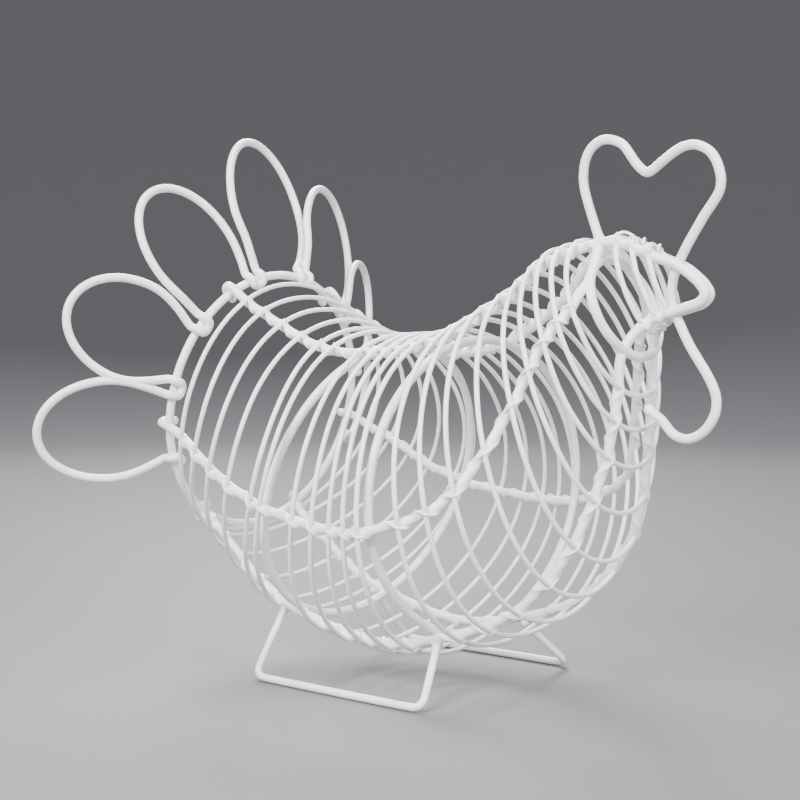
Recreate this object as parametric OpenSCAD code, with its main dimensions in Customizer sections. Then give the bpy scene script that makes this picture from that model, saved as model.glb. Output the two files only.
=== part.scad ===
// Hen-shaped wire egg basket, welded and bound from bent steel wire.
// +X points to the head, +Y to the hen's left side and +Z up. The origin is on the surface that the
// basket stands on, under the middle of its overall box.

/* [Wire] */
// Diameter of the rings, long wires, side wires, tail feathers and comb
frame_d = 4.4; // [3.8:0.1:5]
// Diameter of the thin hoops
hoop_d = 2.4; // [1.8:0.1:2.8]
// Diameter of the feet
foot_d = 3.8; // [3.2:0.1:4.6]
// Diameter of the wire that binds the hoops to the long wires
binding_d = 1.6; // [1.2:0.1:2]
// How far wires that touch are sunk into each other by their weld
weld = 0.3; // [0.2:0.05:0.4]

/* [Mouth] */
// Radius of the mouth ring, at the middle of its wire
mouth_r = 72; // [70:0.5:74]
// Distance of the middle of the mouth behind the origin
mouth_x = 119; // [117:0.5:121]
// Height of the middle of the mouth above the table
mouth_z = 141; // [139:0.5:143]
// How far the mouth ring's top leans towards the head, in degrees
mouth_tilt = 11; // [10:0.5:12]

/* [Hoops] */
// Number of thin hoops between the mouth ring and the rear body ring
tail_hoops = 6; // [4:1:7]
// Number of thin hoops between the two body rings
middle_hoops = 5; // [3:1:6]
// Number of thin hoops between the front body ring and the neck ring
neck_hoops = 9; // [6:1:10]
// How far the right side of each thin hoop is bent towards the head, and its left side away from it
hoop_lead = 3; // [0:0.5:4]

/* [Tail] */
// Length of the shortest feathers, from the mouth ring to the tip
feather_l = 62; // [56:1:66]
// Half width of the narrowest feathers, at the middle of their wire
feather_w = 26; // [23:0.5:28]
// How far the feathers lean back out of the mouth ring's plane, in degrees
feather_lean = 33; // [25:1:38]

/* [Feet] */
// Distance from the middle plane to the middle of a foot's bar
foot_y = 63; // [58:1:66]
// Position along X of the bar's rear bend
foot_rear = -66; // [-69:1:-63]
// Position along X of the bar's front bend
foot_front = 43; // [40:1:46]

/* [Hidden] */
// Facets round a wire, and round the thicker body rings and feet
WIRE_SIDES = 6;
RING_SIDES = 8;
// Half width of the widest hoop
WIDEST = 94;
// Colour of the powder coat
WHITE = "#f3f1ec";

// Stations along the body: 0 is the mouth ring, 7 the rear body ring, 13 the front body ring and 23 the
// neck ring. Each row holds a station and the back, side and belly points of the long wires' left half.
BODY = [
    [0, [-107, 38, 201], [-120, 71, 131], [-132, 37, 80]],
    [2, [-82, 38, 188], [-93, 79, 117], [-124, 35, 73]],
    [4, [-55, 38, 175], [-66, 82, 102], [-97, 36, 52]],
    [5, [-41.5, 38, 170.5], [-48, 84, 95.5], [-82, 36, 42]],
    [7, [-25, 37, 168], [-34, 85.5, 91.5], [-61, 37, 33.5]],
    [10, [1, 35, 168.5], [6, 90, 86], [-14, 36, 23.5]],
    [13, [26, 31, 173.5], [35, 91.5, 87.5], [28, 38, 28.5]],
    [16, [50, 27, 185], [70, 78, 104], [74, 32, 47]],
    [18, [68, 23, 197], [87, 57, 141], [102, 28, 79]],
    [20, [81, 19, 209], [96, 44, 171], [115, 19, 120]],
    [23, [101, 9, 218], [110, 30, 195], [120, 14, 168]],
];
BACK = 1;
SIDE = 2;
BELLY = 3;
REAR_RING = 7;
FRONT_RING = 13;
NECK_RING = 23;
// The thick rings inside the body: x and z of the top and the bottom, and half the width
REAR_RING_SHAPE = [[-17, 172.5], [-60, 27.5], 81];
FRONT_RING_SHAPE = [[34, 174.5], [30, 27.5], 88.5];
NECK_RING_SHAPE = [[105, 211.5], [122, 166], 28];
// The small thin hoops round the head, given in the same way
HEAD_HOOPS = [
    [[112, 221.5], [129, 177], 15], [[119, 220.5], [134.5, 180.5], 11], [[127, 217.5], [139, 184], 8.5],
];

// Points of a back-and-belly wire past the neck ring: over the head, round the beak and back to the chin
HEAD = [
    [110, 7.5, 219], [121, 5.5, 216], [132, 4, 211], [142, 3, 207], [149, 2.5, 202],
    [153.5, 2.3, 197.5], [155, 2.3, 194], [152.5, 2.3, 190.5], [146, 2.5, 188.3], [139, 3, 186.5],
    [132, 4.5, 184], [125.5, 8.5, 179],
];
// The part of that wire on top of the head
OVER_HEAD = [for (i = [0:3]) HEAD[i]];
// The arch of the spare binding wire on the head: x of its two ends and how high it rises
SPARE_END = [112.8, 122.6, 4];
// Slant of a turn of the binding wire: how far it runs along the wire for each unit across
BINDING_SLANT = 0.7;
// Share of a station over which the direction of a long wire is measured
NEAR = 0.05;
// Points of a side wire past the last neck hoop: up beside the neck ring to the foot of the comb
SIDE_END = [[106.5, 30, 194], [108, 25, 199], [107, 18, 207], [104, 8, 218]];
// Outline of the comb and the wattle in the middle plane, as x and z from the comb's root to the chin
COMB = [
    [99.5, 221], [93, 239], [90.5, 250], [92, 260], [97, 266], [104, 267.5], [112, 264], [118, 256],
    [124.5, 250.5], [131, 254], [140, 259.5], [148, 261], [156, 257], [160.5, 248.5], [160.5, 239.5],
    [153.5, 229.5], [146, 218], [142, 211], [139, 204.5], [137.5, 197], [138, 189], [141, 182],
    [147, 170.5], [155, 158.5], [159.5, 149], [159, 140.5], [153.5, 132.5], [145.5, 129], [138, 131.5],
    [133, 137], [126, 142],
];
// Angles round the mouth ring, from its top towards the left, of the bends between the feathers and of
// the tail wire's two ends, and the direction of each feather's tip
TAIL_BENDS = [-116, -83, -54, -19, 11, 46, 74, 110];
TIPS = [-101, -68, -28, 13, 45, 67, 96];
// Share of a feather's length that lies beyond its widest place
TIP_SHARE = 0.55;
// How much longer and how much wider to each side every feather is than the smallest one
LONGER = [4, 0, 4, 20, 19, 14, 4];
WIDER = [1, 0, 0, 4, 6, 3, 0];
// Half the width of a bend between two feathers, as an angle round the mouth ring
BEND_ANGLE = 3;
// Half of such a bend, from its middle to a feather's leg: share of BEND_ANGLE, then the distances out
// from the mouth ring's wire and behind it, where 1 is the distance at which the two wires just touch
BEND = [[0, -0.55, -0.92], [0.8, -0.3, -1], [1, 0.25, -0.97], [1, 0.85, -0.55], [1, 1.1, 0.3]];

tail_names = [for (i = [1:tail_hoops]) str("tail_hoop_", i)];
middle_names = [for (i = [1:middle_hoops]) str("middle_hoop_", i)];
neck_names = [for (i = [1:neck_hoops]) str("neck_hoop_", i)];
head_names = [for (i = [1:len(HEAD_HOOPS)]) str("head_hoop_", i)];
feather_names = [for (i = [1:len(TIPS)]) str("tail_feather_", i)];

// Stations of the thin hoops, spread evenly between the rings and then moved towards the head
function stations(from, to, count, move) = [for (i = [1:count]) from + (to - from) * i / (count + 1) + move];
tail_stations = stations(0, REAR_RING, tail_hoops, 0);
middle_stations = stations(REAR_RING, FRONT_RING, middle_hoops, 0.3);
neck_stations = stations(FRONT_RING, NECK_RING, neck_hoops, 0.15);
hoop_stations = concat(tail_stations, middle_stations, neck_stations);

// --- Curves ---

function unit(v) = v / norm(v);
function mirror_y(points) = [for (p = points) [p[0], -p[1], p[2]]];
function side_of(points, side) = side > 0 ? points : mirror_y(points);

// A smooth curve through the points of one column of BODY, at any station
function row_at(s, k = 0) = k >= len(BODY) - 2 || s <= BODY[k + 1][0] ? k : row_at(s, k + 1);
function slope(column, k) =
    let (a = BODY[max(k - 1, 0)], b = BODY[min(k + 1, len(BODY) - 1)])
    (b[column] - a[column]) / (b[0] - a[0]);
function hermite(p, m, q, n, u) =
    p * (2 * u ^ 3 - 3 * u ^ 2 + 1) + m * (u ^ 3 - 2 * u ^ 2 + u)
    + q * (3 * u ^ 2 - 2 * u ^ 3) + n * (u ^ 3 - u ^ 2);
function long_wire(column, s) =
    let (k = row_at(s), a = BODY[k], b = BODY[k + 1], h = b[0] - a[0])
    hermite(a[column], slope(column, k) * h, b[column], slope(column, k + 1) * h, (s - a[0]) / h);

// A smooth curve through a list of points, cut into equal steps between them
function spline_point(points, i, u) =
    let (last = len(points) - 1, p = points[i], q = points[i + 1],
        m = (q - points[max(i - 1, 0)]) / (i > 0 ? 2 : 1),
        n = (points[min(i + 2, last)] - p) / (i < last - 1 ? 2 : 1))
    hermite(p, m, q, n, u);
function spline(points, steps) = concat(
    [for (i = [0:len(points) - 2], j = [0:steps - 1]) spline_point(points, i, j / steps)],
    [points[len(points) - 1]]
);

// The ellipse across the body through the three long wires at a station, pushed out by offset, as
// [half width, half height, height of its middle]
function hoop_ellipse(s, offset) =
    let (b = long_wire(BACK, s), m = long_wire(SIDE, s), v = long_wire(BELLY, s),
        y1 = b[1] ^ 2 - m[1] ^ 2, y2 = m[1] ^ 2 - v[1] ^ 2,
        z1 = b[2] - m[2], z2 = m[2] - v[2],
        q1 = b[2] ^ 2 - m[2] ^ 2, q2 = m[2] ^ 2 - v[2] ^ 2,
        ratio = (q1 * z2 - q2 * z1) / (y2 * z1 - y1 * z2),
        middle = (q1 + ratio * y1) / (2 * z1),
        height = sqrt(ratio * b[1] ^ 2 + (b[2] - middle) ^ 2))
    [height / sqrt(ratio) + offset, height + offset, middle];
// Where a hoop lies along X at the height z: a parabola through the same three points
function hoop_x(s, z) =
    let (b = long_wire(BACK, s), m = long_wire(SIDE, s), v = long_wire(BELLY, s))
    b[0] * (z - m[2]) * (z - v[2]) / ((b[2] - m[2]) * (b[2] - v[2]))
    + m[0] * (z - b[2]) * (z - v[2]) / ((m[2] - b[2]) * (m[2] - v[2]))
    + v[0] * (z - b[2]) * (z - m[2]) / ((v[2] - b[2]) * (v[2] - m[2]));
// A hoop's path: offset is how far it lies outside the long wires, and lead is how much further towards
// the head the right side of the widest hoop lies than its middle
function hoop_path(s, offset, lead, steps) =
    let (e = hoop_ellipse(s, offset))
    [for (i = [0:steps - 1])
        let (a = 360 * i / steps, z = e[2] + e[1] * cos(a))
        [hoop_x(s, z) - lead * e[0] / WIDEST * sin(a), e[0] * sin(a), z]];

// A point near the mouth ring: angle from its top towards the left, distance out from its centre and
// distance behind its plane
function mouth_point(angle, out, behind) =
    let (up = out * cos(angle))
    [-mouth_x + up * sin(mouth_tilt) - behind * cos(mouth_tilt), out * sin(angle),
        mouth_z + up * cos(mouth_tilt) + behind * sin(mouth_tilt)];
// The hooked end of a long wire round the mouth ring, from its rear end to the front of its bend
HOOK_STEPS = 6;
function hook(angle) =
    [for (i = [0:HOOK_STEPS])
        let (turn = 170 * (1 - i / HOOK_STEPS), r = frame_d - weld)
        mouth_point(angle, mouth_r + r * cos(turn), r * sin(turn))];
function mouth_angle(column) = atan2(BODY[0][column][1], (BODY[0][column][2] - mouth_z));

// --- Solids ---

// A wire of diameter d along a path; across is a direction that the path never runs along
module wire(path, d, across, sides = WIRE_SIDES, closed = false) {
    count = len(path);
    function before(i) = closed ? path[(i + count - 1) % count] : path[max(i - 1, 0)];
    function after(i) = closed ? path[(i + 1) % count] : path[min(i + 1, count - 1)];
    points = [for (i = [0:count - 1])
        let (t = unit(after(i) - before(i)), u = unit(across - (across * t) * t), v = cross(t, u))
        for (j = [0:sides - 1])
            let (a = 360 * (j + 0.5) / sides)
            path[i] + d / 2 * (u * cos(a) + v * sin(a))];
    walls = [for (i = [0:count - (closed ? 1 : 2)], j = [0:sides - 1])
        let (n = ((i + 1) % count) * sides, k = (j + 1) % sides)
        [i * sides + j, i * sides + k, n + k, n + j]];
    ends = closed ? [] : [
        [for (j = [sides - 1:-1:0]) j],
        [for (j = [0:sides - 1]) (count - 1) * sides + j],
    ];
    polyhedron([for (p = points) p], concat(walls, ends), convexity = 10);
}

// The big ring round the open tail end, which is the basket's mouth
module mouth_ring() {
    color(WHITE)
    translate([-mouth_x, 0, mouth_z])
    rotate([0, 90 + mouth_tilt, 0])
    rotate_extrude($fn = 96)
    translate([mouth_r, 0])
    circle(d = frame_d, $fn = 24);
}

// A flat oval ring across the body, from its top and bottom and its half width
module oval_ring(shape, d, sides, steps) {
    top = [shape[0][0], 0, shape[0][1]];
    bottom = [shape[1][0], 0, shape[1][1]];
    path = [for (i = [0:steps - 1])
        let (a = 360 * i / steps)
        (top + bottom) / 2 + (top - bottom) / 2 * cos(a) + [0, shape[2] * sin(a), 0]];
    color(WHITE)
    wire(path, d, [1, 0, 0], sides, closed = true);
}

module rear_body_ring() {
    oval_ring(REAR_RING_SHAPE, frame_d, RING_SIDES, 40);
}

module front_body_ring() {
    oval_ring(FRONT_RING_SHAPE, frame_d, RING_SIDES, 40);
}

module neck_ring() {
    oval_ring(NECK_RING_SHAPE, frame_d, WIRE_SIDES, 28);
}

module head_hoop(i) {
    oval_ring(HEAD_HOOPS[i], hoop_d, WIRE_SIDES, 24);
}

// A thin hoop outside the long wires at a station
module thin_hoop(s) {
    offset = (frame_d + hoop_d) / 2 - weld;
    color(WHITE)
    wire(hoop_path(s, offset, hoop_lead, 36), hoop_d, [1, 0, 0], closed = true);
}

// One of the two wires that run from the mouth along the back, round the beak and back under the belly
module back_and_belly_wire(side) {
    back = [for (s = [1:22]) long_wire(BACK, s)];
    belly = [for (s = [23:-1:1]) long_wire(BELLY, s)];
    neck = [long_wire(BACK, 23)];
    path = concat(hook(mouth_angle(BACK)), back, neck, HEAD, belly,
        [for (i = [HOOK_STEPS:-1:0]) hook(mouth_angle(BELLY))[i]]);
    color(WHITE)
    wire(side_of(path, side), frame_d, [0, 1, 0]);
}

// One of the two wires along the widest part of the body
module side_wire(side) {
    path = concat(hook(mouth_angle(SIDE)), [for (s = [1:22]) long_wire(SIDE, s)], SIDE_END);
    color(WHITE)
    wire(side_of(path, side), frame_d, [0, 1, 0]);
}

// One loop of the tail wire: from the middle of the bend that hooks the front of the mouth ring, over
// the ring's outer edge, round the feather and back to the next bend
module tail_feather(i) {
    length = feather_l + LONGER[i];
    half_width = feather_w + WIDER[i];
    touch = frame_d - weld;
    function bend(angle, side) = [for (b = BEND)
        mouth_point(angle + side * BEND_ANGLE * b[0], mouth_r + touch * b[1], touch * b[2])];
    first = bend(TAIL_BENDS[i], 1);
    last = bend(TAIL_BENDS[i + 1], -1);
    leg = len(BEND) - 1;
    root = (first[leg] + last[leg]) / 2;
    half_root = norm(first[leg] - last[leg]) / 2;
    outward = mouth_point(TIPS[i], 1, 0) - mouth_point(0, 0, 0);
    behind = mouth_point(0, 0, 1) - mouth_point(0, 0, 0);
    along = outward * cos(feather_lean) + behind * sin(feather_lean);
    across = cross(outward, behind);
    // The legs spread to the widest place, and half an oval closes the feather beyond it
    tip_l = TIP_SHARE * length;
    legs_l = length - tip_l;
    function half(u) = half_root + (half_width - half_root) * sin(90 * u / legs_l);
    leaf = concat(
        [for (k = [1:3]) let (u = legs_l * k / 3) [u, -half(u)]],
        [for (k = [1:9]) let (a = 180 * k / 10) [legs_l + tip_l * sin(a), -half_width * cos(a)]],
        [for (k = [3:-1:1]) let (u = legs_l * k / 3) [u, half(u)]]
    );
    loop = [for (p = leaf) root + p[0] * along - p[1] * across];
    color(WHITE)
    wire(spline(concat(first, loop, [for (k = [leg:-1:0]) last[k]]), 2), frame_d, cross(along, across));
}

// The wire that rises from the head as the comb, passes the beak and hangs under it as the wattle
module comb_and_wattle() {
    color(WHITE)
    wire(spline([for (p = COMB) [p[0], 0, p[1]]], 2), frame_d, [0, 1, 0]);
}

// One foot: a bar on the table with a bend at each end and a leg up to the belly wire
module foot(side) {
    bar_z = foot_d / 2 * cos(180 / RING_SIDES);
    rear = long_wire(BELLY, 6.2);
    front = long_wire(BELLY, 13.3);
    bend = 7;
    function leg_end(top) = top + [0, 0, -(frame_d + foot_d) / 2 + 2 * weld];
    rear_corner = [foot_rear, foot_y, bar_z];
    front_corner = [foot_front, foot_y, bar_z];
    // A rounded corner between the directions from p to a and from p to b
    function round_corner(a, p, b, steps) =
        let (from = p + unit(a - p) * bend, to = p + unit(b - p) * bend)
        [for (i = [0:steps]) let (u = i / steps) from * (1 - u) ^ 2 + 2 * u * (1 - u) * p + to * u ^ 2];
    path = concat(
        [leg_end(rear)],
        round_corner(leg_end(rear), rear_corner, front_corner, 6),
        round_corner(rear_corner, front_corner, leg_end(front), 6),
        [leg_end(front)]
    );
    color(WHITE)
    wire(side_of(path, side), foot_d, [0, 1, 0], RING_SIDES);
}

// One slanting turn of the binding wire, round a long wire at p and the thin hoop that lies on its
// outer side. t is the long wire's direction and out points away from the body.
module binding_turn(p, t, out) {
    lift = unit(out - (out * t) * t);
    axis = unit(t + BINDING_SLANT * cross(lift, t));
    translate(p + lift * hoop_d / 2)
    rotate([0, acos(axis[2]), atan2(axis[1], axis[0])])
    rotate_extrude($fn = 32)
    translate([(frame_d + hoop_d + binding_d) / 2 - weld, 0])
    circle(d = binding_d, $fn = 16);
}

// The binding of one long wire, with a turn at each hoop that it crosses
module binding(column, side, places) {
    color(WHITE)
    for (s = places) {
        points = side_of([for (u = [s - NEAR, s, s + NEAR]) long_wire(column, u)], side);
        e = hoop_ellipse(s, 0);
        out = unit([0, points[1][1] / e[0] ^ 2, (points[1][2] - e[2]) / e[1] ^ 2]);
        binding_turn(points[1], unit(points[2] - points[0]), out);
    }
}

module back_binding(side) {
    binding(BACK, side, hoop_stations);
}

module side_binding(side) {
    binding(SIDE, side, [for (s = hoop_stations) if (s < 22) s]);
}

module belly_binding(side) {
    binding(BELLY, side, hoop_stations);
}

// Where the wire on top of the head is at x, on the side given
function head_point(x, side) =
    let (y = lookup(x, [for (p = OVER_HEAD) [p[0], p[1]]]), z = lookup(x, [for (p = OVER_HEAD) [p[0], p[2]]]))
    [x, side * y, z];

// The binding of the head: a turn where each head hoop crosses each of the two wires on top of the head
module head_binding() {
    color(WHITE)
    for (hoop = HEAD_HOOPS, side = [-1, 1]) {
        p = head_point(hoop[0][0], side);
        binding_turn(p, unit(head_point(p[0] + 1, side) - p), [0, 0, 1]);
    }
}

// The spare end of the binding wire, which stands up on the head as a small arch
module head_binding_end() {
    from = head_point(SPARE_END[0], -1);
    to = head_point(SPARE_END[1], -1);
    arch = [for (i = [0:10])
        let (a = 18 * i)
        (from + to) / 2 + (from - to) / 2 * cos(a) + [0, 0, frame_d / 2 + SPARE_END[2] * sin(a)]];
    color(WHITE)
    wire(arch, binding_d, [0, 1, 0]);
}

mouth_ring();
rear_body_ring();
front_body_ring();
neck_ring();
for (i = [0:tail_hoops - 1])
    thin_hoop(tail_stations[i]);
for (i = [0:middle_hoops - 1])
    thin_hoop(middle_stations[i]);
for (i = [0:neck_hoops - 1])
    thin_hoop(neck_stations[i]);
for (i = [0:len(HEAD_HOOPS) - 1])
    head_hoop(i);
for (i = [0:len(TIPS) - 1])
    tail_feather(i);
back_and_belly_wire(1);  // left_back_and_belly_wire
back_and_belly_wire(-1);  // right_back_and_belly_wire
side_wire(1);  // left_side_wire
side_wire(-1);  // right_side_wire
comb_and_wattle();
foot(1);  // left_foot
foot(-1);  // right_foot
back_binding(1);  // left_back_binding
back_binding(-1);  // right_back_binding
side_binding(1);  // left_side_binding
side_binding(-1);  // right_side_binding
belly_binding(1);  // left_belly_binding
belly_binding(-1);  // right_belly_binding
head_binding();
head_binding_end();
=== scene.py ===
import math
import random

import bpy
import numpy as np
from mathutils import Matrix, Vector


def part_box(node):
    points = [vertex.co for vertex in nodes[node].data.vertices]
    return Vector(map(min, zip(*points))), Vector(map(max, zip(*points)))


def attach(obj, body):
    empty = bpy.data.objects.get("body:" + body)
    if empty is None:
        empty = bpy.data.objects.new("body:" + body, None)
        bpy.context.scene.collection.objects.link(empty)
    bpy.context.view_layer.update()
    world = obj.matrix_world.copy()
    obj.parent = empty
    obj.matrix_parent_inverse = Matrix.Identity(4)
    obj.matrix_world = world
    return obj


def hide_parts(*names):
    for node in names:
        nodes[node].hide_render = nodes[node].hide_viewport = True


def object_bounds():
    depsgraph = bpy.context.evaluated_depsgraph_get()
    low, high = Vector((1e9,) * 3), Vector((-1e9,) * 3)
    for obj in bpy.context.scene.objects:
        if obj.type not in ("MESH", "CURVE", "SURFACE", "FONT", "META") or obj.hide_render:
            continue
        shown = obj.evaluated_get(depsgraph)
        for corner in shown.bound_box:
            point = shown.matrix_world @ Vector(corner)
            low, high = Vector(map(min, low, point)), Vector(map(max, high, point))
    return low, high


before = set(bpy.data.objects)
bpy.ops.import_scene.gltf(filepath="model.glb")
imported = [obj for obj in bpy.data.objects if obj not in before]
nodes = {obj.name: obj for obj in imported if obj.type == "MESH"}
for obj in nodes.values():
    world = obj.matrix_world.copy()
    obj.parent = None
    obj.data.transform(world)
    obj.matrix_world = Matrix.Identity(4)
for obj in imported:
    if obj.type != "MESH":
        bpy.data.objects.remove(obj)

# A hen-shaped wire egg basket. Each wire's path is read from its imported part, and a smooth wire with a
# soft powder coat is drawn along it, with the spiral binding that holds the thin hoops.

MM = 0.001
cad_low, cad_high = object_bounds()

# Diameters of the thick wires, the thin hoops, the feet and the binding wire
FRAME_D = 4.4 * MM
HOOP_D = 2.4 * MM
FOOT_D = 3.8 * MM
BINDING_D = 1.4 * MM
# Extra thickness of the coat on the bound wires
COAT = 0.12 * MM
# Corners round a thick wire and round a thin hoop
THICK_SIDES = 18
THIN_SIDES = 12


# --- Reading a wire's path from its part ---

def welded(node):
    """The part's corners with doubles joined, each corner's neighbours, and its triangles."""
    mesh = nodes[node].data
    index = {}
    corners = []
    of_vertex = []
    for v in mesh.vertices:
        key = tuple(round(c * 2e5) for c in v.co)
        if key not in index:
            index[key] = len(corners)
            corners.append(v.co[:])
        of_vertex.append(index[key])
    near = [set() for _ in corners]
    faces = []
    for polygon in mesh.polygons:
        face = [of_vertex[v] for v in polygon.vertices]
        faces.append(face)
        for a, b in zip(face, face[1:] + face[:1]):
            if a != b:
                near[a].add(b)
                near[b].add(a)
    return np.array(corners), near, faces


def evenly_round(points):
    """True if these points are evenly far from their middle, as the corners of a cross-section are."""
    reach = np.linalg.norm(points - points.mean(axis=0), axis=1)
    return reach.std() < 0.04 * reach.mean()


def end_section(corners, faces):
    """The corners of a wire's flat end: the only flat group of triangles with six or eight corners."""
    normals = []
    by_edge = {}
    for index, face in enumerate(faces):
        a, b, c = (corners[v] for v in face[:3])
        normal = np.cross(b - a, c - a)
        normals.append(normal / max(np.linalg.norm(normal), 1e-18))
        for edge in zip(face, face[1:] + face[:1]):
            by_edge.setdefault(frozenset(edge), []).append(index)
    seen = set()
    for first in range(len(faces)):
        if first in seen:
            continue
        group = {first}
        edge = [first]
        while edge:
            following = []
            for index in edge:
                face = faces[index]
                for side in zip(face, face[1:] + face[:1]):
                    for other in by_edge[frozenset(side)]:
                        if other not in group and normals[other] @ normals[first] > 0.9995:
                            group.add(other)
                            following.append(other)
            edge = following
        seen |= group
        members = sorted(set(v for index in group for v in faces[index]))
        if len(members) in (6, 8) and evenly_round(corners[members]):
            return set(members)
    raise ValueError("no flat end")


def loop_section(corners, diameter):
    """The corners of one cross-section of a closed loop."""
    reach = np.linalg.norm(corners - corners[0], axis=1)
    return set(np.flatnonzero(reach < diameter * 1.05).tolist())


def connected(members, near):
    """One connected part of a set of corners."""
    start = next(iter(members))
    found = {start}
    edge = {start}
    while edge:
        edge = set(n for v in edge for n in near[v] if n in members) - found
        found |= edge
    return found


def follow(corners, near, start, closed):
    """The middles of a wire's cross-sections in order, from the section start."""
    seen = set(start)
    current = start
    middles = [corners[list(start)].mean(axis=0)]
    while True:
        following = set(n for v in current for n in near[v]) - seen
        if not following:
            return np.array(middles)
        if closed and len(middles) == 1:
            following = connected(following, near)
        seen |= following
        current = following
        middles.append(corners[list(current)].mean(axis=0))


def centre_line(node, diameter):
    """The middles of a wire's cross-sections in order, and whether the wire is a closed loop."""
    corners, near, faces = welded(node)
    closed = "ring" in node or "hoop" in node
    start = loop_section(corners, diameter) if closed else end_section(corners, faces)
    return follow(corners, near, start, closed), closed


# --- Smooth paths and frames along them ---

def smooth_path(points, closed, step):
    """A smooth curve through the points, with samples about step apart."""
    points = np.asarray(points, float)
    if closed:
        points = np.vstack([points[-2:], points, points[:3]])
    gaps = np.linalg.norm(np.diff(points, axis=0), axis=1)
    t = np.concatenate([[0], np.cumsum(np.sqrt(gaps))])
    slopes = np.gradient(points, t, axis=0)
    first, last = (2, len(points) - 3) if closed else (0, len(points) - 1)
    out = []
    for i in range(first, last):
        h = t[i + 1] - t[i]
        count = max(1, int(round(gaps[i] / step)))
        for u in np.arange(count) / count:
            out.append(
                points[i] * (2 * u ** 3 - 3 * u ** 2 + 1)
                + slopes[i] * h * (u ** 3 - 2 * u ** 2 + u)
                + points[i + 1] * (3 * u ** 2 - 2 * u ** 3)
                + slopes[i + 1] * h * (u ** 3 - u ** 2)
            )
    if not closed:
        out.append(points[last])
    return even_path(np.array(out), closed, step)


def even_path(points, closed, step):
    """The same curve with equal distances between its samples."""
    loop = np.vstack([points, points[:1]]) if closed else points
    along = np.concatenate([[0], np.cumsum(np.linalg.norm(np.diff(loop, axis=0), axis=1))])
    count = max(8, int(round(along[-1] / step)))
    wanted = np.linspace(0, along[-1], count + 1)
    if closed:
        wanted = wanted[:-1]
    return np.stack([np.interp(wanted, along, loop[:, k]) for k in range(3)], axis=1)


def tangents(path, closed):
    if closed:
        d = np.roll(path, -1, axis=0) - np.roll(path, 1, axis=0)
    else:
        d = np.gradient(path, axis=0)
    return d / np.linalg.norm(d, axis=1, keepdims=True)


def turn(vector, axis, angle):
    """vector turned about a unit axis."""
    return (
        vector * math.cos(angle)
        + np.cross(axis, vector) * math.sin(angle)
        + axis * (axis @ vector) * (1 - math.cos(angle))
    )


def frames(path, closed):
    """Two directions across the path at each sample, with no needless twist."""
    t = tangents(path, closed)
    start = np.cross(t[0], [0.31, 0.87, 0.38])
    u = [start / np.linalg.norm(start)]
    for i in range(1, len(path)):
        v = u[-1] - t[i] * (u[-1] @ t[i])
        u.append(v / np.linalg.norm(v))
    u = np.array(u)
    if closed:
        v = u[-1] - t[0] * (u[-1] @ t[0])
        v /= np.linalg.norm(v)
        twist = math.atan2(np.cross(v, u[0]) @ t[0], v @ u[0])
        for i in range(len(path)):
            u[i] = turn(u[i], t[i], twist * i / len(path))
    return t, u, np.cross(t, u)


def wobble(path, closed, amount, rng):
    """Small slow bends along a wire, as in one bent and tied by hand."""
    count = len(path)
    phase = np.arange(count) / count * 2 * math.pi
    out = path.copy()
    fade = np.ones(count) if closed else np.sin(np.linspace(0, math.pi, count)) ** 0.5
    for axis in range(3):
        for wave in (3, 5, 8):
            out[:, axis] += amount / wave * 2 * np.sin(wave * phase + rng.uniform(0, 6.3)) * fade
    return out


# --- Meshes ---

# A wire's rounded end: how many rings it has, how small the last ring is, and its length in radii
CAP_STEPS = 4
CAP_TIP = 0.06
CAP_LENGTH = 0.8
# The waves of unevenness in a coat: length in samples, and how often each goes round the wire
COAT_WAVES = ((9, 1), (17, 2), (31, 1), (5.5, 3))


def rounded_end(ring, radii, place, direction):
    """The rings of corners that round off the end of a tube, from its last full ring outwards."""
    rows = []
    for k in range(1, CAP_STEPS + 1):
        turned = math.pi / 2 * k / CAP_STEPS
        shrink = max(CAP_TIP, math.cos(turned))
        past = direction * radii.mean() * math.sin(turned) * CAP_LENGTH
        rows.append(place + ring * radii[:, None] * shrink + past)
    return rows


def skin(name, path, radii, closed, sides):
    """A tube along the path. radii holds one radius for each sample and side."""
    t, u, v = frames(path, closed)
    count = len(path)
    a = np.arange(sides) / sides * 2 * math.pi
    ring = u[:, None, :] * np.cos(a)[None, :, None] + v[:, None, :] * np.sin(a)[None, :, None]
    points = path[:, None, :] + ring * radii[:, :, None]
    if not closed:
        head = rounded_end(ring[0], radii[0], path[0], -t[0])
        tail = rounded_end(ring[-1], radii[-1], path[-1], t[-1])
        points = np.concatenate([np.array(head[::-1]), points, np.array(tail)])
        count = len(points)
    rows = np.arange(count if closed else count - 1)
    i, j = np.meshgrid(rows, np.arange(sides), indexing="ij")
    n, k = (i + 1) % count, (j + 1) % sides
    quads = np.stack([i * sides + j, i * sides + k, n * sides + k, n * sides + j], axis=-1)
    faces = quads.reshape(-1, 4).tolist()
    if not closed:
        faces.append(list(range(sides))[::-1])
        faces.append([(count - 1) * sides + j for j in range(sides)])
    mesh = bpy.data.meshes.new(name)
    mesh.from_pydata(points.reshape(-1, 3).tolist(), [], faces)
    mesh.validate()
    mesh.shade_smooth()
    piece = bpy.data.objects.new(name, mesh)
    bpy.context.scene.collection.objects.link(piece)
    return piece


def coat_noise(count, sides, rng, amount):
    """Slow unevenness of the coat's thickness along and round a wire."""
    along = np.arange(count)[:, None]
    round_ = np.arange(sides)[None, :] / sides * 2 * math.pi
    out = np.zeros((count, sides))
    for length, turns in COAT_WAVES:
        out += np.sin(along * 2 * math.pi / length + turns * round_ + rng.uniform(0, 6.3))
    return out * amount / len(COAT_WAVES)


def finish_piece(piece, material, slot, *replaced):
    piece.data.materials.append(material)
    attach(piece, "root")
    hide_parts(*replaced)
    return piece


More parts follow.
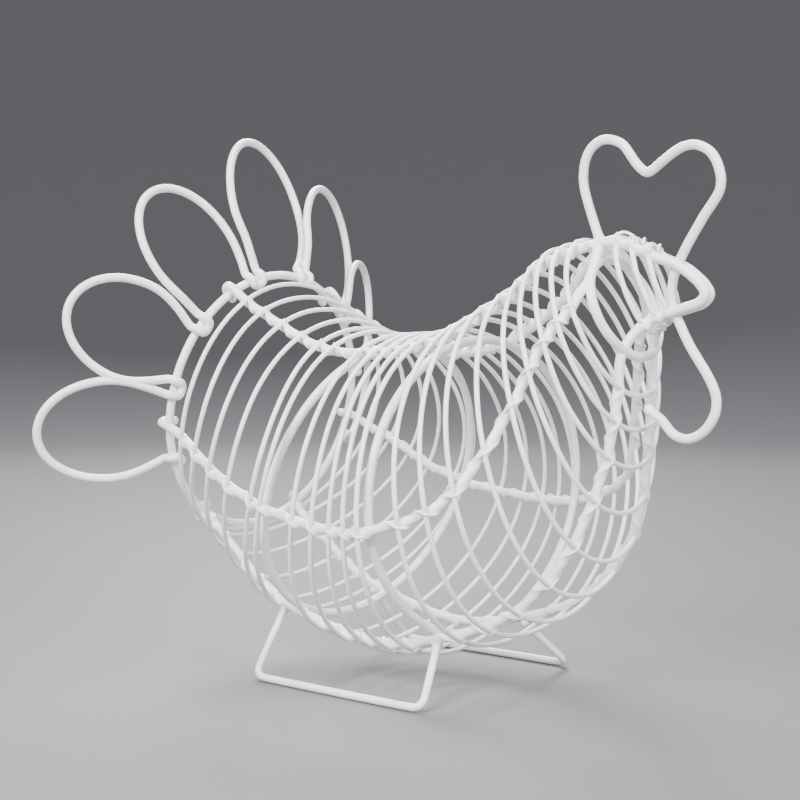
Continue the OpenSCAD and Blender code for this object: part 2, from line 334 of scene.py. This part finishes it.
def plain_wire(node, diameter, material, sides=THICK_SIDES, sway=0.0, flare=0.0):
    """A coated wire in place of one node. flare is how much its ends swell into their welds."""
    step = 1.3 * MM
    rng = random.Random(node)
    points, closed = centre_line(node, diameter)
    path = smooth_path(points, closed, step)
    if sway:
        path = wobble(path, closed, sway, rng)
    path[:, 2] += max(0, cad_low[2] + diameter / 2 + COAT - path[:, 2].min())
    count = len(path)
    radii = np.full((count, sides), diameter / 2)
    radii += coat_noise(count, sides, rng, 0.035 * MM)
    if flare:
        reach = np.minimum(np.arange(count), np.arange(count)[::-1]) * step
        radii += (flare * np.exp(-((reach / (2.2 * MM)) ** 2)))[:, None]
    piece = skin("coated_" + node, path, radii, closed, sides)
    finish_piece(piece, material, "wire", node)
    return path


# --- Materials ---

def node_of(tree, kind, x, y, **settings):
    made = tree.nodes.new(kind)
    made.location = (x, y)
    for key, value in settings.items():
        setattr(made, key, value)
    return made


def ramp(tree, x, y, stops):
    made = node_of(tree, "ShaderNodeValToRGB", x, y)
    elements = made.color_ramp.elements
    while len(elements) < len(stops):
        elements.new(0.5)
    for element, (place, colour) in zip(elements, stops):
        element.position = place
        element.color = (*colour, 1)
    return made


def noise(tree, coordinates, x, y, scale, detail=3.0, roughness=0.5):
    made = node_of(tree, "ShaderNodeTexNoise", x, y)
    made.inputs["Scale"].default_value = scale
    made.inputs["Detail"].default_value = detail
    made.inputs["Roughness"].default_value = roughness
    tree.links.new(coordinates, made.inputs["Vector"])
    return made


def powder_coat(name, tint):
    """White powder coat: a warm white with faint clouds of tone, fine orange peel, and satin gloss."""
    material = bpy.data.materials.new(name)
    material.use_nodes = True
    tree = material.node_tree
    shader = tree.nodes["Principled BSDF"]
    where = node_of(tree, "ShaderNodeTexCoord", -1200, 0).outputs["Object"]
    clouds = noise(tree, where, -1000, 300, 55, 4, 0.6)
    grime = noise(tree, where, -1000, 60, 240, 5, 0.65)
    base = ramp(tree, -760, 300, [
        (0.30, (tint[0] * 0.90, tint[1] * 0.885, tint[2] * 0.85)),
        (0.55, tint),
        (0.80, (min(1, tint[0] * 1.03), min(1, tint[1] * 1.03), min(1, tint[2] * 1.04))),
    ])
    tree.links.new(clouds.outputs["Fac"], base.inputs["Fac"])
    specks = ramp(tree, -760, 60, [(0.0, (0.86, 0.84, 0.80)), (0.33, (1, 1, 1)), (1.0, (1, 1, 1))])
    tree.links.new(grime.outputs["Fac"], specks.inputs["Fac"])
    mixed = node_of(tree, "ShaderNodeMix", -480, 220, data_type="RGBA", blend_type="MULTIPLY")
    mixed.inputs["Factor"].default_value = 1
    tree.links.new(base.outputs["Color"], mixed.inputs[6])
    tree.links.new(specks.outputs["Color"], mixed.inputs[7])
    tree.links.new(mixed.outputs[2], shader.inputs["Base Color"])
    gloss = noise(tree, where, -1000, -180, 130, 3)
    rough = ramp(tree, -760, -180, [(0.3, (0.27,) * 3), (0.75, (0.42,) * 3)])
    tree.links.new(gloss.outputs["Fac"], rough.inputs["Fac"])
    tree.links.new(rough.outputs["Color"], shader.inputs["Roughness"])
    peel = noise(tree, where, -1000, -420, 850, 2, 0.45)
    runs = noise(tree, where, -1000, -620, 190, 2, 0.5)
    coarse = node_of(tree, "ShaderNodeBump", -480, -560)
    coarse.inputs["Strength"].default_value = 0.35
    coarse.inputs["Distance"].default_value = 0.0004
    tree.links.new(runs.outputs["Fac"], coarse.inputs["Height"])
    fine = node_of(tree, "ShaderNodeBump", -260, -420)
    fine.inputs["Strength"].default_value = 0.3
    fine.inputs["Distance"].default_value = 0.00012
    tree.links.new(peel.outputs["Fac"], fine.inputs["Height"])
    tree.links.new(coarse.outputs["Normal"], fine.inputs["Normal"])
    tree.links.new(fine.outputs["Normal"], shader.inputs["Normal"])
    shader.inputs["Coat Weight"].default_value = 0.25
    shader.inputs["Coat Roughness"].default_value = 0.18
    shader.inputs["Specular IOR Level"].default_value = 0.5
    return material


wire_coat = powder_coat("powder_coat_wire", (0.93, 0.925, 0.905))
hoop_coat = powder_coat("powder_coat_hoops", (0.93, 0.925, 0.91))
binding_coat = powder_coat("powder_coat_binding", (0.92, 0.91, 0.89))

# --- Rings, hoops, feathers, comb and feet ---

def names(start):
    """The nodes whose names begin with start, in order."""
    return sorted(n for n in nodes if n.startswith(start))


def mouth_ring():
    """The mouth ring's part is a true torus, so its path comes from the part's box."""
    low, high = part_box("mouth_ring")
    radius = (high[1] - low[1] - FRAME_D) / 2
    middle = (np.array(low) + np.array(high)) / 2
    lean = math.asin((high[0] - low[0] - FRAME_D) / (2 * radius))
    angles = np.linspace(0, 2 * math.pi, 360, endpoint=False)
    up = radius * np.cos(angles)
    path = np.stack([
        middle[0] + up * math.sin(lean),
        middle[1] + radius * np.sin(angles),
        middle[2] + up * math.cos(lean),
    ], axis=1)
    rng = random.Random("mouth_ring")
    count = len(path)
    radii = np.full((count, THICK_SIDES), FRAME_D / 2) + coat_noise(count, THICK_SIDES, rng, 0.04 * MM)
    piece = skin("coated_mouth_ring", path, radii, True, THICK_SIDES)
    finish_piece(piece, wire_coat, "wire", "mouth_ring")


mouth_ring()
for name in ("rear_body_ring", "front_body_ring", "neck_ring"):
    plain_wire(name, FRAME_D, wire_coat)

thin_paths = []
for name in names("tail_hoop") + names("middle_hoop") + names("neck_hoop") + names("head_hoop"):
    thin_paths.append(plain_wire(name, HOOP_D, hoop_coat, sides=THIN_SIDES, sway=0.22 * MM))

for name in names("tail_feather"):
    plain_wire(name, FRAME_D, wire_coat)
plain_wire("comb_and_wattle", FRAME_D, wire_coat, flare=0.5 * MM)
for name in ("left_foot", "right_foot"):
    plain_wire(name, FOOT_D, wire_coat, flare=0.9 * MM)


# --- Long wires with their binding ---

# A hoop this near to a long wire's middle is tied to it
TIED = 5.2 * MM
# The longest stretch between two hoops that the binding spirals along
LONGEST_SPIRAL = 32 * MM
# How much slower than even the binding turns at a hoop, so that it crosses the hoop at a slant
SLANT = 0.55
# Height and width of the coat's ridge over the binding, and of its swelling at a hoop
RIDGE, RIDGE_W = 0.8 * MM, 1.2 * MM
SWELL, SWELL_W = 0.8 * MM, 2.2 * MM
# Over this length on each side of a hoop the binding climbs over it
CLIMB = 2.6 * MM
# Samples on each side in which a crossing is the nearest, and the fewest samples of a run of binding
CROSSING_WINDOW = 8
SHORTEST_RUN = 12


def crossings(path, rings, limit):
    """Where a long wire passes rings: sample number and direction to the ring, for each crossing."""
    found = []
    for ring in rings:
        gaps = np.linalg.norm(path[:, None, :] - ring[None, :, :], axis=2)
        nearest = gaps.argmin(axis=1)
        gap = gaps.min(axis=1)
        for i in range(2, len(path) - 2):
            window = gap[max(0, i - CROSSING_WINDOW):i + CROSSING_WINDOW + 1]
            if gap[i] < limit and gap[i] == window.min():
                found.append((i, ring[nearest[i]] - path[i]))
    return sorted(found, key=lambda item: item[0])


def wrapped(angle):
    """The same angle between -pi and pi."""
    return (angle + math.pi) % (2 * math.pi) - math.pi


def bound_wire(node, hand):
    """A long wire whose coat rises in soft ridges over its spiral binding, and the binding wire itself."""
    rng = random.Random(node)
    step = 0.8 * MM
    sides = 24
    points, closed = centre_line(node, FRAME_D)
    path = smooth_path(points, closed, step)
    t, u, v = frames(path, closed)
    count = len(path)
    samples = np.arange(count)
    marks = []
    for i, away in crossings(path, thin_paths, TIED):
        if marks and i - marks[-1][0] < 3:
            continue
        marks.append((i, math.atan2(away @ v[i], away @ u[i]), float(np.linalg.norm(away))))
    angle = np.zeros(count)
    active = np.zeros(count)
    for (i, a, _), (j, b, _) in zip(marks, marks[1:]):
        if (j - i) * step > LONGEST_SPIRAL:
            continue
        span = samples[i:j + 1]
        share = (span - i) / (j - i)
        share = share - SLANT * np.sin(2 * math.pi * share) / (2 * math.pi)
        angle[i:j + 1] = a + wrapped(b - a) * share + hand * 2 * math.pi * share
        active[i:j + 1] = 1
    around = np.arange(sides)[None, :] / sides * 2 * math.pi
    radius = FRAME_D / 2
    slope = np.gradient(np.unwrap(angle)) / step * radius
    flatten = 1 / np.sqrt(1 + slope ** 2)
    gap = wrapped(around - angle[:, None])
    ridge = RIDGE * np.exp(-((gap * radius * flatten[:, None]) / RIDGE_W) ** 2) * active[:, None]
    swell = np.zeros((count, sides))
    for i, a, _ in marks:
        across = wrapped(around - a)
        reach = (samples[:, None] - i) * step
        swell += SWELL * np.exp(-((across * radius) / SWELL_W) ** 2 - (reach / SWELL_W) ** 2)
    radii = radius + COAT + ridge + swell + coat_noise(count, sides, rng, 0.05 * MM)
    piece = skin("coated_" + node, path, radii, closed, sides)
    finish_piece(piece, wire_coat, "wire", node)

    # The binding wire lies on the long wire and climbs over each hoop that it ties down.
    low = radius + BINDING_D * 0.3
    out = np.full(count, low)
    for i, _, gap_to_hoop in marks:
        high = max(low, gap_to_hoop + HOOP_D / 2 - BINDING_D * 0.1)
        out = np.maximum(out, low + (high - low) * np.exp(-(((samples - i) * step) / CLIMB) ** 2))
    coil = path + out[:, None] * (u * np.cos(angle)[:, None] + v * np.sin(angle)[:, None])
    runs = []
    start = None
    for i in range(count):
        if active[i] and start is None:
            start = i
        if start is not None and (not active[i] or i == count - 1):
            if i - start > SHORTEST_RUN:
                runs.append(coil[start:i])
            start = None
    return runs


def binding(name, runs, replaced):
    """The thin binding wire of one or more long wires, as one piece."""
    rng = random.Random(name)
    made = []
    sides = 8
    for run in runs:
        line = even_path(run, False, 0.9 * MM)
        radii = np.full((len(line), sides), BINDING_D / 2) + coat_noise(len(line), sides, rng, 0.04 * MM)
        made.append(skin(name + "_part", line, radii, False, sides))
    first = made[0]
    with bpy.context.temp_override(active_object=first, selected_editable_objects=made, object=first):
        bpy.ops.object.join()
    first.name = name
    finish_piece(first, binding_coat, "binding", *replaced)


for side, hand in (("left", -1), ("right", 1)):
    long_runs = bound_wire(side + "_back_and_belly_wire", hand)
    ties = [side + "_back_binding", side + "_belly_binding"]
    binding(side + "_back_and_belly_binding_wire", long_runs, ties)
    side_runs = bound_wire(side + "_side_wire", hand)
    binding(side + "_side_binding_wire", side_runs, [side + "_side_binding"])


def head_binding():
    """The turns on top of the head, each an open ring of wire along its own solid."""
    corners, near, _ = welded("head_binding")
    left = set(range(len(corners)))
    runs = []
    while left:
        part = connected(left, near)
        left -= part
        points = corners[sorted(part)]
        middle = points.mean(axis=0)
        long_way, wide_way = np.linalg.svd(points - middle, full_matrices=False)[2][:2]
        radius = np.ptp((points - middle) @ long_way) / 2 - BINDING_D
        lowest = math.atan2(-wide_way[2], -long_way[2])
        opening = 0.4
        angles = (lowest + np.linspace(opening, 2 * math.pi - opening, 40))[:, None]
        runs.append(middle + radius * (np.cos(angles) * long_way + np.sin(angles) * wide_way))
    points, closed = centre_line("head_binding_end", BINDING_D)
    runs.append(smooth_path(points, closed, 0.6 * MM))
    binding("head_binding_wire", runs, ["head_binding", "head_binding_end"])


head_binding()

# --- Floor, lights and camera ---

def floor():
    """A round pale floor that curves up into a wall far outside the lights, the same on every side."""
    flat, bend, wall, sectors = 1.9, 1.6, 2.5, 96
    profile = [(flat * k / 4, 0.0) for k in range(1, 4)]
    for a in np.linspace(0, math.pi / 2, 32):
        profile.append((flat + bend * math.sin(a), bend - bend * math.cos(a)))
    profile += [(flat + bend, bend + wall)]
    base = cad_low[2]
    points = [(0, 0, base)]
    for reach, up in profile:
        for k in range(sectors):
            a = 2 * math.pi * k / sectors
            points.append((reach * math.cos(a), reach * math.sin(a), base + up))
    faces = [(0, 1 + k, 1 + (k + 1) % sectors) for k in range(sectors)]
    for i in range(len(profile) - 1):
        for k in range(sectors):
            n = (k + 1) % sectors
            first, second = 1 + i * sectors, 1 + (i + 1) * sectors
            faces.append((first + k, second + k, second + n, first + n))
    mesh = bpy.data.meshes.new("studio_floor")
    mesh.from_pydata(points, [], faces)
    mesh.shade_smooth()
    made = bpy.data.objects.new("studio_floor", mesh)
    bpy.context.scene.collection.objects.link(made)
    material = bpy.data.materials.new("pale_floor")
    material.use_nodes = True
    shader = material.node_tree.nodes["Principled BSDF"]
    shader.inputs["Base Color"].default_value = (0.15, 0.154, 0.162, 1)
    shader.inputs["Roughness"].default_value = 0.6
    made.data.materials.append(material)


def area_light(name, place, aim, size, power):
    data = bpy.data.lights.new(name, "AREA")
    data.shape = "SQUARE"
    data.size = size
    data.energy = power
    lamp = bpy.data.objects.new(name, data)
    lamp.location = place
    lamp.rotation_euler = (Vector(aim) - Vector(place)).to_track_quat("-Z", "Y").to_euler()
    bpy.context.scene.collection.objects.link(lamp)


def lights():
    """Four soft area lights round the basket and a faint sky."""
    aim = (0, 0, (cad_low[2] + cad_high[2]) / 2)
    area_light("key", (0.1, -1.6, 1.2), aim, 0.9, 84)
    area_light("fill", (1.6, -0.3, 1.0), aim, 0.9, 44)
    area_light("top", (0.0, 0.0, 2.1), aim, 1.2, 34)
    area_light("rim", (-1.2, 1.2, 1.4), aim, 0.9, 64)
    world = bpy.data.worlds.new("studio")
    world.use_nodes = True
    world.node_tree.nodes["Background"].inputs["Color"].default_value = (0.75, 0.78, 0.82, 1)
    world.node_tree.nodes["Background"].inputs["Strength"].default_value = 0.4
    bpy.context.scene.world = world


def camera():
    """Seen from the hen's front right, a little above the middle of its body."""
    azimuth = math.radians(39.1)
    elevation = math.radians(1.86)
    distance = 0.7359
    length = cad_high[0] - cad_low[0]
    height = cad_high[2] - cad_low[2]
    # The point looked at, as shares of the box: a little behind its middle and just below mid height
    aim_x = (cad_low[0] + cad_high[0]) / 2 - 0.0666 * length
    aim_z = cad_low[2] + 0.4918 * height
    middle = Vector((aim_x, 0, aim_z))
    flat = math.cos(elevation)
    away = Vector((math.sin(azimuth) * flat, -math.cos(azimuth) * flat, math.sin(elevation)))
    data = bpy.data.cameras.new("camera")
    data.lens = 63
    data.sensor_width = 36
    made = bpy.data.objects.new("camera", data)
    made.location = middle + away * distance
    made.rotation_euler = (-away).to_track_quat("-Z", "Y").to_euler()
    bpy.context.scene.collection.objects.link(made)
    bpy.context.scene.camera = made


floor()
lights()
camera()
